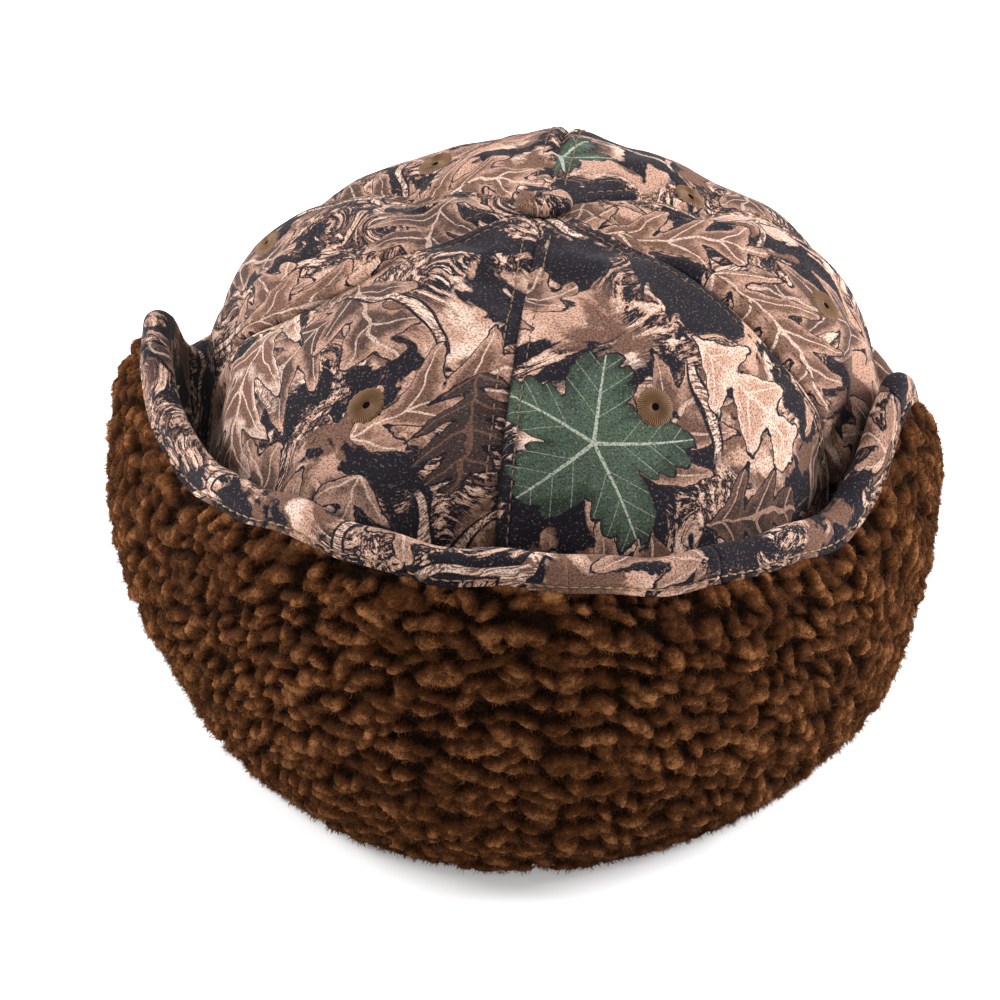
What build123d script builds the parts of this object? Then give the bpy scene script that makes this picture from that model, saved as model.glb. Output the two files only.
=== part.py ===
from build123d import *
import os
from math import atan2, cos, hypot, pi, radians, sin, tan

os.makedirs("parts", exist_ok=True)

# ---------------------------------------------------------------- driving dimensions, mm
seam_half_width = 90.0      # crown-to-cuff seam, centre to side
seam_half_length = 106.0    # crown-to-cuff seam, centre to front or back
egg = 0.10                  # how much narrower the oval is in front than behind
hinge_height = 4.5          # the seam the cuff folds about, above the table

crown_height = 146.0        # top of the crown cloth
shoulder_height = 84.0      # where the crown starts to close in
crown_bulge = 0.04          # how far the crown swells above the seam
crown_square = 2.5          # 2 is a plain ellipse over the top, more is squarer
crown_inset = 2.5           # crown cloth inside the fold line
crown_bottom = 5.3
gore_count = 6
gore_gap = 0.3

panel_thickness = 1.2
wadding_thickness = 2.4
lining_thickness = 0.8
layer_gap = 0.3
wadding_bottom = 8.0
lining_bottom = 44.0

band_inner_inset = 12.0     # pile headband, pile tips
band_outer_inset = 8.2      # pile headband, back against the lining
band_height = 42.0
foot_outer_inset = 5.2      # the bottom roll under the crown seam
foot_height = 3.9

cuff_segments = 16
front_rise = 95.0
temple_rise = 87.0
ear_rise = 102.0
back_rise = 83.0
front_lean = 5.0            # degrees the turned-up cuff leans outward
side_lean = 7.5
segment_clearance = 0.2

facing_thickness = 1.4
facing_offset = 0.3         # facing face to the fold line
facing_start = 0.5
pile_offset = 2.0
pile_outer = 15.0
pile_start = 5.4
hem_depth = 10.0
hem_outer = 11.2

button_radius = 7.8
button_height = 4.4
button_plate_radius = 6.5
button_plate_thickness = 0.8
shank_radius = 1.2

eyelet_radius = 5.2
eyelet_hole_radius = 1.1
eyelet_thickness = 0.9
front_eyelet_height = 119.0
side_eyelet_height = 121.0
back_eyelet_height = 133.0

snap_radius = 6.2
snap_height = 78.0
stud_base = 1.3
stud_post_radius = 1.9
stud_post = 3.2
socket_thickness = 2.7

label_width = 46.0
label_height = 26.0
label_thickness = 0.5


# ---------------------------------------------------------------- shared curves
def plan(angle, scale=1.0, inset=0.0):
    """Point of the egg-shaped oval. Angle 0 is the front, 90 degrees is the wearer's left, which is +X."""
    half_width = seam_half_width * scale - inset
    half_length = seam_half_length * scale - inset
    x = half_width * sin(angle) * (1 - egg * cos(angle))
    return x, -half_length * cos(angle)


def oval(z, scale=1.0, inset=0.0, points=28):
    """A flat oval face at height z."""
    ring = []
    for i in range(points):
        x, y = plan(2 * pi * i / points, scale, inset)
        ring.append((x, y, z))
    return make_face(Spline(*ring, periodic=True))


def side_scale(z):
    """Size of the crown oval below the shoulder."""
    t = (z - hinge_height) / (shoulder_height - hinge_height)
    t = min(max(t, 0.0), 1.0)
    return 1 + crown_bulge * (3 * t * t - 2 * t ** 3)


def crown_solid(inset, bottom):
    """Filled crown, its surface lying inset below the outer cloth surface."""
    total = crown_inset + inset
    top = crown_height - inset
    sections = []
    for i in range(5):
        z = bottom + (shoulder_height - bottom) * i / 4
        sections.append(oval(z, side_scale(z), total))
    for degrees_left in (76, 62, 49, 37, 26, 16, 8, 3):
        u = radians(degrees_left)
        rho = sin(u) ** (2 / crown_square)
        z = shoulder_height + (top - shoulder_height) * cos(u)
        sections.append(oval(z, (1 + crown_bulge) * rho, total * rho))
    return loft(sections)


def crown_surface(angle, z):
    """Point and outward direction on the outer crown cloth."""
    def at(a, h):
        if h <= shoulder_height:
            scale, rho = side_scale(h), 1.0
        else:
            c = (h - shoulder_height) / (crown_height - shoulder_height)
            rho = (1 - c * c) ** (1 / crown_square)
            scale = (1 + crown_bulge) * rho
        x, y = plan(a, scale, crown_inset * rho)
        return Vector(x, y, h)
    here = at(angle, z)
    along = at(angle + 0.01, z) - at(angle - 0.01, z)
    up = at(angle, z + 0.1) - at(angle, z - 0.1)
    return here, along.cross(up).normalized()


def gore_wedge(index):
    """Wedge holding one gore, half a seam gap short of each seam plane."""
    reach = 400.0
    corners = []
    for step in (0, 1):
        x, y = plan(pi / 3 * (index + step))
        length = hypot(x, y)
        corners.append((x / length, y / length))
    (ax, ay), (bx, by) = corners
    half = gore_gap / 2
    turn = ax * by - ay * bx
    apex_x = half * (ax + bx) / abs(turn)
    apex_y = half * (ay + by) / abs(turn)
    face = make_face(Polyline(
        (apex_x, apex_y),
        (apex_x + ax * reach, apex_y + ay * reach),
        (apex_x + bx * reach, apex_y + by * reach),
        close=True,
    ))
    return Pos(0, 0, -10) * extrude(face, 200)


# ---------------------------------------------------------------- crown
def crown_panels(shell, eyelet_spots):
    names = (
        "crown_panel_front_left", "crown_panel_side_left", "crown_panel_back_left",
        "crown_panel_back_right", "crown_panel_side_right", "crown_panel_front_right",
    )
    parts = {}
    for index, name in enumerate(names):
        panel = shell & gore_wedge(index)
        point, outward = eyelet_spots[index]
        hole = Plane(origin=point - outward * 4, z_dir=outward) * Cylinder(eyelet_hole_radius, 20)
        parts[name] = panel - hole
    return parts


def eyelet_places():
    spots = []
    heights = (front_eyelet_height, side_eyelet_height, back_eyelet_height)
    for index in range(gore_count):
        angle = pi / 3 * (index + 0.5)
        height = heights[min(index, 5 - index)]
        spots.append(crown_surface(angle, height))
    return spots


def eyelet(point, outward):
    """Ring of satin stitching lying on the cloth."""
    seat = Plane(origin=point + outward * (0.1 + eyelet_thickness / 2), z_dir=outward)
    ring = Cylinder(eyelet_radius, eyelet_thickness) - Cylinder(eyelet_hole_radius, 3 * eyelet_thickness)
    rim = ring.edges().filter_by(GeomType.CIRCLE).group_by(Axis.Z)[-1].sort_by(SortBy.RADIUS)[-1]
    return seat * fillet(rim, 0.6)


def button_cap():
    """Cloth-covered dome with a short shank down through the cloth."""
    bottom = crown_height + 0.25
    profile = Plane.XZ * make_face(
        Polyline((0, 0), (button_radius - 1.0, 0), (button_radius, 1.0))
        + Spline((button_radius, 1.0), (button_radius * 0.72, button_height * 0.82), (0, button_height),
                 tangents=((0, 1), (-1, 0)))
        + Line((0, button_height), (0, 0))
    )
    cap = Pos(0, 0, bottom) * revolve(profile, Axis.Z)
    depth = bottom - (crown_height - 5.6)
    shank = Pos(0, 0, bottom - depth / 2) * Cylinder(shank_radius, depth + 0.2)
    return cap + shank


def button_plate():
    """Metal plate inside the crown that the shank is set into."""
    z = crown_height - 5.4 - button_plate_thickness / 2
    plate = Cylinder(button_plate_radius, button_plate_thickness)
    return Pos(0, 0, z - 0.3) * (plate - Cylinder(shank_radius + 0.05, 4))


def shank_hole():
    return Pos(0, 0, crown_height) * Cylinder(shank_radius + 0.35, 40)


def crown_layers():
    first = panel_thickness + layer_gap
    second = first + wadding_thickness
    third = second + layer_gap
    fourth = third + lining_thickness
    wadding = crown_solid(first, wadding_bottom) - crown_solid(second, wadding_bottom)
    lining = crown_solid(third, wadding_bottom) - crown_solid(fourth, wadding_bottom)
    return wadding - shank_hole(), lining - shank_hole()


def headband():
    """Pile headband inside, carried out under the crown seam as the foot the hat stands on."""
    wall = extrude(oval(0, 1.0, band_outer_inset), band_height)
    foot = extrude(oval(0, 1.0, foot_outer_inset), foot_height)
    room = Pos(0, 0, -1) * extrude(oval(0, 1.0, band_inner_inset), band_height + 2)
    return (wall + foot) - room


def size_label():
    """Blank label laid against the lining at the back, above the headband."""
    z = 66.0
    x, y = plan(pi, side_scale(z), crown_inset + 5.6)
    return Pos(0, y - 1.8, z) * Box(label_width * 0.5, label_thickness, label_height)


# ---------------------------------------------------------------- cuff
def ease(t):
    t = min(max(t, 0.0), 1.0)
    return t * t * (3 - 2 * t)


def cuff_rise(angle):
    """Height of the turned-up cuff, measured along its wall: level in front, a dip at the temple, a
    rounded ear flap at the side, lower behind."""
    turn = abs(atan2(sin(angle), cos(angle))) * 180 / pi
    if turn < 60:
        return front_rise + (temple_rise - front_rise) * ease((turn - 25) / 35)
    if turn < 88:
        return temple_rise + (ear_rise - temple_rise) * ease((turn - 60) / 28)
    return ear_rise + (back_rise - ear_rise) * ease((turn - 88) / 34)


def cuff_lean(angle):
    return radians(front_lean + (side_lean - front_lean) * sin(angle) ** 2)


def segment_frame(index):
    """Fold line of one cuff segment: its two ends, and the lean of its wall."""
    step = 2 * pi / cuff_segments
    start = (index - 0.5) * step
    end = (index + 0.5) * step
    return start, end, cuff_lean(index * step)


def half_turn(index):
    """Half the angle between the fold lines of segment index - 1 and segment index."""
    step = 2 * pi / cuff_segments
    points = []
    for k in (-1.5, -0.5, 0.5):
        points.append(plan((index + k) * step))
    (ax, ay), (bx, by), (cx, cy) = points
    first = atan2(by - ay, bx - ax)
    second = atan2(cy - by, cx - bx)
    change = (second - first + pi) % (2 * pi) - pi
    return abs(change) / 2


def segment_plane(index):
    """Plane on the fold line: x along it, y up the wall, z outward through the cuff."""
    start, end, lean = segment_frame(index)
    ax, ay = plan(start)
    bx, by = plan(end)
    length = hypot(bx - ax, by - ay)
    along = Vector((bx - ax) / length, (by - ay) / length, 0)
    outward = Vector(along.Y, -along.X, 0)
    middle = Vector((ax + bx) / 2, (ay + by) / 2, hinge_height)
    through = outward * cos(lean) - Vector(0, 0, 1) * sin(lean)
    return Plane(origin=middle, x_dir=along, z_dir=through), length


def slab(index, low, drop, near, far, extra=0.0):
    """One layer of a segment: from low up the wall to drop below its top edge, near to far through it."""
    plane, length = segment_plane(index)
    start, end, lean = segment_frame(index)
    step = 2 * pi / cuff_segments
    left_rise = cuff_rise(start)
    right_rise = cuff_rise(end)
    corners = []
    for side, turn, rise, other in (
        (-1, half_turn(index), left_rise, index - 1),
        (1, half_turn(index + 1), right_rise, index + 1),
    ):
        growth = sin(min(lean, cuff_lean(other * step))) * tan(turn)
        base = length / 2 - far * tan(turn) - segment_clearance + extra
        x = side * (base + rise * growth)
        top = left_rise + (right_rise - left_rise) * (x / length + 0.5) - drop
        corners.append((side * (base + low * growth), low))
        corners.append((x, top))
    left_low, left_top, right_low, right_top = corners
    face = make_face(Polyline(left_low, right_low, right_top, left_top, close=True))
    return plane * (Pos(0, 0, near) * extrude(face, far - near))


def facing_segment(index):
    """Cloth face of the cuff, turned over the top of the pile and down again as the hem."""
    far = facing_offset + facing_thickness
    sheet = slab(index, facing_start, 0.0, facing_offset, far)
    over = slab(index, back_rise - 40, 0.0, facing_offset, hem_outer)
    over = over - slab(index, back_rise - 60, facing_thickness, facing_offset + 0.7, hem_outer - facing_thickness, 9)
    below = slab(index, facing_start, hem_depth, far, hem_outer + 5, 9)
    return (sheet + over) - below


def pile_segment(index):
    """Pile of the cuff, its top edge tucked into the hem."""
    lower = slab(index, pile_start, hem_depth + 0.3, pile_offset, pile_outer)
    upper = slab(index, pile_start, facing_thickness + 0.3, pile_offset, hem_outer - facing_thickness - 0.3)
    return lower + upper


# ---------------------------------------------------------------- snaps
def snap_stud(side):
    """Stud half, on the crown."""
    point, outward = crown_surface(side * pi / 2, snap_height)
    base = Cylinder(snap_radius, stud_base, align=(Align.CENTER, Align.CENTER, Align.MIN))
    post = Cylinder(stud_post_radius, stud_post, align=(Align.CENTER, Align.CENTER, Align.MIN))
    seat = Plane(origin=point + outward * 0.3, z_dir=outward)
    return seat * (base + post)


def snap_socket(side):
    """Socket half, on the cloth face of the ear flap."""
    index = cuff_segments // 4 if side > 0 else 3 * cuff_segments // 4
    plane, length = segment_plane(index)
    rise = (snap_height - hinge_height) / cos(cuff_lean(pi / 2))
    body = Cylinder(snap_radius, socket_thickness, align=(Align.CENTER, Align.CENTER, Align.MAX))
    well = Cylinder(stud_post_radius + 0.9, 1.1, align=(Align.CENTER, Align.CENTER, Align.MIN))
    centre_y = 0.0 - plane.origin.Y
    along = centre_y * plane.x_dir.Y
    return plane * (Pos(along, rise, facing_offset - 0.1) * (body - Pos(0, 0, -socket_thickness) * well))


# ---------------------------------------------------------------- build
def build():
    parts = {}
    spots = eyelet_places()
    shell = crown_solid(0.0, crown_bottom) - crown_solid(panel_thickness, crown_bottom) - shank_hole()
    parts.update(crown_panels(shell, spots))
    wadding, lining = crown_layers()
    parts["crown_wadding"] = wadding
    parts["crown_lining"] = lining
    parts["headband_pile"] = headband()
    parts["size_label"] = size_label()
    parts["button_cap"] = button_cap()
    parts["button_plate"] = button_plate()
    order = ("front_left", "side_left", "back_left", "back_right", "side_right", "front_right")
    for (point, outward), where in zip(spots, order):
        parts["eyelet_" + where] = eyelet(point, outward)
    for index in range(cuff_segments):
        parts[f"cuff_facing_{index:02d}"] = facing_segment(index)
        parts[f"cuff_pile_{index:02d}"] = pile_segment(index)
    for side, where in ((1, "left"), (-1, "right")):
        parts["snap_stud_" + where] = snap_stud(side)
        parts["snap_socket_" + where] = snap_socket(side)
    return parts


for name, solid in build().items():
    export_step(solid, f"parts/{name}.step")
    print(name, round(solid.volume, 1))
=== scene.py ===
# %% [markdown]
# # A trapper hat with a turned-up pile cuff
# The solid model gives six crown panels, a headband and sixteen stiff cuff segments that fold down
# round the bottom edge. Here the same hat gets its cloth, pile, stitching and print, piece by piece,
# and each piece but the pile is hung on the stiff part it moves with.

# %% Load the solid model
import bpy
import numpy as np
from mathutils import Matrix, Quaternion, Vector


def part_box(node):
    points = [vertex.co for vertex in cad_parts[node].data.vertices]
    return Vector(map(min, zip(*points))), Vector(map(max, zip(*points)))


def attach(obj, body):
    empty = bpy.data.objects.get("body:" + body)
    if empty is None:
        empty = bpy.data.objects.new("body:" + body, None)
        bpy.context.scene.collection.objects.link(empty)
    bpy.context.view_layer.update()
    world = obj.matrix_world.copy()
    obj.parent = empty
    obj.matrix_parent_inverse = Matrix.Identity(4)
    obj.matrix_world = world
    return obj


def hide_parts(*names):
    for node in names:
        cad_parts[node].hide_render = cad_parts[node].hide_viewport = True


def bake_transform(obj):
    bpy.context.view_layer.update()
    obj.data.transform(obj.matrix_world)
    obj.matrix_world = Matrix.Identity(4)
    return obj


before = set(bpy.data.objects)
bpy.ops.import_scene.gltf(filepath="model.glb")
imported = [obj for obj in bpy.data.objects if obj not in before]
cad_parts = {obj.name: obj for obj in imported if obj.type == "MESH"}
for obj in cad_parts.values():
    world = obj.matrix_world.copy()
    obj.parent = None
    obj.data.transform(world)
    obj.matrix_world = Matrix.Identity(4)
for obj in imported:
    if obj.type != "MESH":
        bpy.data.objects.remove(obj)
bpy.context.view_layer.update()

# %% [markdown]
# ## The shapes everything shares
# A head is an oval a little narrower in front than behind. The cuff folds about that oval, 4.5 mm above
# the table. The crown rises from it as a soft wall, closes in above the shoulder, and ends under the
# top button. All lengths are in millimetres until a mesh is made.

# %% Sizes, millimetres
TURN = 2 * np.pi
HALF_WIDTH, HALF_LENGTH, EGG = 90.0, 106.0, 0.10
FOLD_HEIGHT = 4.5
CROWN_HEIGHT, SHOULDER, SWELL, SQUARE = 144.0, 84.0, 1.035, 2.6
SEGMENTS, PANELS = 16, 6
STEP = TURN / SEGMENTS
HEM_DEPTH, HEM_OUT = 7.8, 7.8
AROUND = 600.0
ORDER = ("front_left", "side_left", "back_left", "back_right", "side_right", "front_right")


def smooth(t):
    """0 below 0, 1 above 1, an S-curve between."""
    t = np.clip(t, 0, 1)
    return t * t * (3 - 2 * t)


def bell(x, width):
    """1 at zero, falling away over width on both sides."""
    return np.exp(-(x / width) ** 2)


def unit(v):
    """Vectors along the last axis, each made one long."""
    return v / np.maximum(np.linalg.norm(v, axis=-1, keepdims=True), 1e-12)


def run_along(points):
    """Length walked from the first point to each, along the first axis."""
    steps = np.linalg.norm(np.diff(points, axis=0), axis=-1)
    return np.concatenate([np.zeros_like(steps[:1]), np.cumsum(steps, 0)])


def turn_of(angle):
    """Angle from the front in degrees, -180 to 180."""
    return np.degrees(np.arctan2(np.sin(angle), np.cos(angle)))


def oval(angle, scale=1.0, inset=0.0):
    """The head oval: x = half width times sin, narrowed in front, and y = minus half length times cos."""
    x = (HALF_WIDTH * scale - inset) * np.sin(angle) * (1 - EGG * np.cos(angle))
    y = -(HALF_LENGTH * scale - inset) * np.cos(angle)
    return x, y


def outward(angle):
    """Level direction away from the oval."""
    ax, ay = oval(angle + 0.001)
    bx, by = oval(angle - 0.001)
    nx, ny = ay - by, bx - ax
    size = np.hypot(nx, ny)
    return nx / size, ny / size


def around(angle):
    """Millimetres round the hat from the front, at one common radius."""
    return angle * AROUND / (TURN)


def ripple(x, y, seed, cell):
    """Smooth random hills, -1 to 1: random heights at grid corners, blended between. x runs round the
    hat and meets itself again after AROUND millimetres."""
    count = int(round(AROUND / cell))
    table = np.random.default_rng(seed).uniform(-1, 1, (count, 64))
    fx, fy = np.asarray(x) * count / AROUND, np.asarray(y) / cell
    ix, iy = np.floor(fx).astype(int), np.floor(fy).astype(int)
    tx, ty = smooth(fx - ix), smooth(fy - iy)
    a, b = table[ix % count, iy % 64], table[(ix + 1) % count, iy % 64]
    c, d = table[ix % count, (iy + 1) % 64], table[(ix + 1) % count, (iy + 1) % 64]
    return (a * (1 - tx) + b * tx) * (1 - ty) + (c * (1 - tx) + d * tx) * ty


# %% [markdown]
# ## Turning arrays into pieces
# Every surface here is a sheet of points in rows and columns. One helper joins neighbours into faces
# and another makes the Blender object, with the print's coordinates in millimetres as its UV map.

# %% Mesh helpers
def sheet_faces(rows, columns, wrap=False):
    """Four-cornered faces between neighbouring points of a rows by columns sheet."""
    r, c = np.meshgrid(np.arange(rows - 1), np.arange(columns if wrap else columns - 1), indexing="ij")
    n = (c + 1) % columns
    here, above = r * columns, (r + 1) * columns
    return np.stack([here + c, here + n, above + n, above + c], -1).reshape(-1, 4)


def make(name, points, faces, uv=None, values=None, material=None, extra=None):
    """A smooth-shaded object from points in millimetres. extra is a set of triangles added to the faces."""
    points = np.asarray(points, float).reshape(-1, 3)
    loops = np.asarray(faces).ravel()
    sizes = np.full(len(faces), faces.shape[1])
    if extra is not None:
        loops = np.concatenate([loops, extra.ravel()])
        sizes = np.concatenate([sizes, np.full(len(extra), 3)])
    mesh = bpy.data.meshes.new(name)
    mesh.vertices.add(len(points))
    mesh.vertices.foreach_set("co", (points * 0.001).astype(np.float32).ravel())
    mesh.loops.add(len(loops))
    mesh.loops.foreach_set("vertex_index", loops.astype(np.int32))
    mesh.polygons.add(len(sizes))
    starts = np.concatenate([[0], np.cumsum(sizes)[:-1]])
    mesh.polygons.foreach_set("loop_start", starts.astype(np.int32))
    mesh.update(calc_edges=True)
    mesh.shade_smooth()
    if uv is not None:
        layer = mesh.uv_layers.new(name="print")
        layer.data.foreach_set("uv", np.asarray(uv, np.float32).reshape(-1, 2)[loops].ravel())
    for key, value in (values or {}).items():
        layer = mesh.attributes.new(key, "FLOAT", "POINT")
        layer.data.foreach_set("value", np.asarray(value, np.float32).ravel())
    obj = bpy.data.objects.new(name, mesh)
    bpy.context.collection.objects.link(obj)
    if material:
        mesh.materials.append(material)
    return obj


def hang(obj, body, slot, *replaced):
    """A finished piece moves with one body and may stand for plain solids. slot is not used."""
    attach(obj, body)
    if replaced:
        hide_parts(*replaced)


def closed_rings(rings, inward=False):
    """Points, faces and closing triangles of rings of points, closed over the middle of the first ring."""
    rows, columns = rings.shape[:2]
    points = np.concatenate([rings.reshape(-1, 3), rings[0].mean(0)[None]])
    k = np.arange(columns)
    fan = np.stack([(k + 1) % columns, k, np.full(columns, rows * columns)], 1)
    faces = sheet_faces(rows, columns, wrap=True)
    return (points, faces, fan) if inward else (points, faces[:, ::-1], fan[:, ::-1])


def normals_of(grid):
    """Unit normals of a sheet of points, pointing away from the inside of the hat."""
    across = np.gradient(grid, axis=1)
    along = np.gradient(grid, axis=0)
    return unit(np.cross(across, along))


def thicken(obj, millimetres):
    """Real thickness for a single sheet, grown towards the inside."""
    m = obj.modifiers.new("thickness", "SOLIDIFY")
    m.thickness, m.offset = millimetres * 0.001, -1
    return obj

# %% [markdown]
# ## The printed cloth
# The print shows leaves, twigs and bark over a pinkish ground. It could be painted as an image, but a
# worked-out pattern stays sharp close up. Each leaf is a shape built from a few sums: a midrib, lobes
# slanting off it, side veins along the lobes and a dark edge.

# %% A small helper for joining shader nodes
class Wires:
    """Adds nodes to one node tree, left to right, and joins them."""

    def __init__(self, tree):
        self.tree = tree

    def node(self, kind, inputs=None, **settings):
        n = self.tree.nodes.new("ShaderNode" + kind)
        for key, value in settings.items():
            setattr(n, key, value)
        for key, value in (inputs or {}).items():
            self.feed(n.inputs[key], value)
        return n

    def feed(self, socket, value):
        if isinstance(value, bpy.types.NodeSocket):
            self.tree.links.new(value, socket)
        elif hasattr(socket, "default_value"):
            socket.default_value = value

    def sum(self, operation, *values, clamp=False):
        n = self.node("Math", dict(enumerate(values)), operation=operation, use_clamp=clamp)
        return n.outputs[0]

    def plus(self, a, b, clamp=False):
        return self.sum("ADD", a, b, clamp=clamp)

    def minus(self, a, b):
        return self.sum("SUBTRACT", a, b)

    def times(self, a, b):
        return self.sum("MULTIPLY", a, b)

    def over(self, a, b):
        return self.sum("DIVIDE", a, b)

    def vector(self, operation, *values):
        keys = (0, "Scale") if operation == "SCALE" else (0, 1)
        n = self.node("VectorMath", dict(zip(keys, values)), operation=operation)
        return n.outputs["Value"] if operation in ("LENGTH", "DOT_PRODUCT") else n.outputs[0]

    def mix(self, amount, a, b):
        n = self.node("Mix", data_type="RGBA")
        self.feed(n.inputs[0], amount)
        self.feed(n.inputs[6], a)
        self.feed(n.inputs[7], b)
        return n.outputs[2]

    def step(self, value, low, high):
        """0 below low and 1 above high."""
        n = self.node("MapRange", {"Value": value, "From Min": low, "From Max": high})
        return n.outputs[0]

    def noise(self, where, scale, detail=2.0, rough=0.5):
        n = self.node("TexNoise", {"Vector": where, "Scale": scale, "Detail": detail, "Roughness": rough})
        return n.outputs[0]


def group(name, inputs, outputs):
    """An empty node group with named inputs and outputs."""
    tree = bpy.data.node_groups.new(name, "ShaderNodeTree")
    for label, kind, value in inputs:
        s = tree.interface.new_socket(label, in_out="INPUT", socket_type="NodeSocket" + kind)
        if value is not None:
            s.default_value = value
    for label, kind in outputs:
        tree.interface.new_socket(label, in_out="OUTPUT", socket_type="NodeSocket" + kind)
    w = Wires(tree)
    return tree, w, tree.nodes.new("NodeGroupInput").outputs, tree.nodes.new("NodeGroupOutput").inputs


# %% What both kinds of leaf share
PLACE, HEIGHT = ("Place", "Vector", None), [("Height", "Float")]
PLACED = [PLACE, ("Middle", "Vector", None), ("Turn", "Float", 0.0)]
LEAF_OUTPUTS = [(label, "Float") for label in ("Inside", "Edge", "Veins", "Shade")]


def on_leaf(w, i):
    """The place measured from the leaf's middle, along and across its midrib."""
    away = w.vector("SUBTRACT", i["Place"], i["Middle"])
    turned = w.node("VectorRotate", {"Vector": away, "Angle": i["Turn"]}, rotation_type="Z_AXIS").outputs[0]
    split = w.node("SeparateXYZ", {0: turned}).outputs
    return turned, split[0], split[1]


def wavy(w, place, scale, detail, size):
    """Random hills of a size, as much below zero as above."""
    return w.times(w.minus(w.noise(place, scale, detail), 0.5), size)


def give(w, o, *values):
    for (label, _), value in zip(LEAF_OUTPUTS, values):
        w.feed(o[label], value)


# %% Leaf with lobes along a midrib, as an oak has
def lobed_leaf_group():
    """Half the width at each place along is body times (0.66 + 0.36 cos), cut ragged by random hills."""
    tree, w, i, o = group("lobed leaf", PLACED + [
        ("Length", "Float", 50.0), ("Half width", "Float", 17.0), ("Lobes", "Float", 4.0)], LEAF_OUTPUTS)
    turned, x, y = on_leaf(w, i)
    side = w.sum("ABSOLUTE", w.plus(y, wavy(w, turned, 0.075, 2.0, 9.0)))
    t = w.over(x, i["Length"])
    room = w.minus(1.0, w.times(w.times(t, t), 4.0))
    body = w.times(i["Half width"], w.sum("SQRT", w.sum("MAXIMUM", room, 0.0)))
    slanted = w.minus(x, w.times(side, 0.8))
    pitch = w.over(i["Length"], i["Lobes"])
    wave = w.sum("COSINE", w.times(w.over(slanted, pitch), TURN))
    half = w.times(body, w.plus(0.66, w.times(wave, 0.36)))
    depth = w.plus(w.minus(half, side), wavy(w, i["Place"], 0.32, 2.0, 5.0))
    inside = w.times(w.step(depth, 0.0, 0.25), w.sum("GREATER_THAN", room, 0.0))
    edge = w.times(inside, w.step(depth, 1.6, 1.1))
    part = w.sum("FRACT", w.plus(w.over(slanted, pitch), 100.5))
    to_vein = w.times(pitch, w.sum("ABSOLUTE", w.minus(part, 0.5)))
    thin = w.minus(0.46, w.times(side, 0.020))
    ribs = w.sum("LESS_THAN", to_vein, w.sum("MAXIMUM", thin, 0.13))
    veins = w.times(inside, w.sum("MAXIMUM", ribs, w.sum("LESS_THAN", side, 0.42)))
    give(w, o, inside, edge, veins, w.step(depth, 0.0, 9.0))
    return tree


# %% Leaf with pointed lobes round its stem, as a maple has
def pointed_leaf_group():
    """The edge's distance from the middle goes as |cos 2.5 bearing|, five lobes, with small teeth added."""
    tree, w, i, o = group("pointed leaf", PLACED + [("Reach", "Float", 24.0)], LEAF_OUTPUTS)
    turned, x, y = on_leaf(w, i)
    far = w.vector("LENGTH", turned)
    bearing = w.sum("ARCTAN2", y, x)
    lobe = w.sum("ABSOLUTE", w.sum("COSINE", w.times(bearing, 2.5)))
    teeth = w.sum("ABSOLUTE", w.sum("SINE", w.plus(w.times(bearing, 11.0), w.times(far, 0.35))))
    share = w.plus(w.plus(0.42, w.times(lobe, 0.50)), w.times(teeth, 0.13))
    depth = w.plus(w.minus(w.times(i["Reach"], share), far), wavy(w, i["Place"], 0.2, 3.0, 7.0))
    inside = w.step(depth, 0.0, 0.25)
    edge = w.times(inside, w.step(depth, 1.2, 0.8))
    fifth = 1.2566
    part = w.sum("FRACT", w.plus(w.over(bearing, fifth), 100.5))
    off = w.minus(w.times(part, fifth), fifth / 2)
    across = w.sum("ABSOLUTE", w.times(far, w.sum("SINE", off)))
    along = w.times(far, w.sum("COSINE", off))
    main = w.sum("LESS_THAN", across, w.minus(0.50, w.times(far, 0.012)))
    slanted = w.over(w.minus(along, w.times(across, 1.1)), 7.0)
    branch = w.sum("ABSOLUTE", w.minus(w.sum("FRACT", slanted), 0.5))
    small = w.sum("GREATER_THAN", branch, 0.474)
    veins = w.times(inside, w.sum("MAXIMUM", main, w.times(small, 0.5)))
    give(w, o, inside, edge, veins, w.step(depth, 0.0, 10.0))
    return tree


LOBED, POINTED = lobed_leaf_group(), pointed_leaf_group()
TAN, PALE, MID = (0.46, 0.265, 0.19, 1), (0.70, 0.50, 0.40, 1), (0.150, 0.075, 0.050, 1)
DEEP, INK, GREEN = (0.042, 0.025, 0.021, 1), (0.0075, 0.006, 0.010, 1), (0.058, 0.088, 0.058, 1)
DARK_GREEN, PALE_GREEN = tuple(0.4 * c for c in GREEN[:3]) + (1,), (0.42, 0.44, 0.36, 1)
print("print colours mixed")

# %% [markdown]
# The whole print is built up like a real one: ground, bark streaks, dark gaps, scattered leaves, thin
# branching twigs, then a few large leaves placed one by one so that the front panels show them whole.

# %% The print
def use(w, tree, **inputs):
    """Puts a finished group into a tree and fills its inputs."""
    n = w.node("Group", node_tree=tree)
    for label, value in inputs.items():
        w.feed(n.inputs[label.replace("_", " ")], value)
    return n.outputs


def leaf_colours(w, place, leaf, fill, tip, vein, strength):
    """One leaf's own colours: the fill in its middle, a paler tip colour towards its lobes, mottled
    between the two, then veins and an ink outline."""
    mottle = w.times(w.minus(w.noise(place, 0.16, 3.0, 0.6), 0.5), 2.2)
    amount = w.plus(w.times(leaf["Shade"], 1.15), mottle, clamp=True)
    mottled = w.mix(amount, tip, fill)
    veined = w.mix(w.times(leaf["Veins"], strength), mottled, vein)
    return w.mix(leaf["Edge"], veined, INK)


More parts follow.
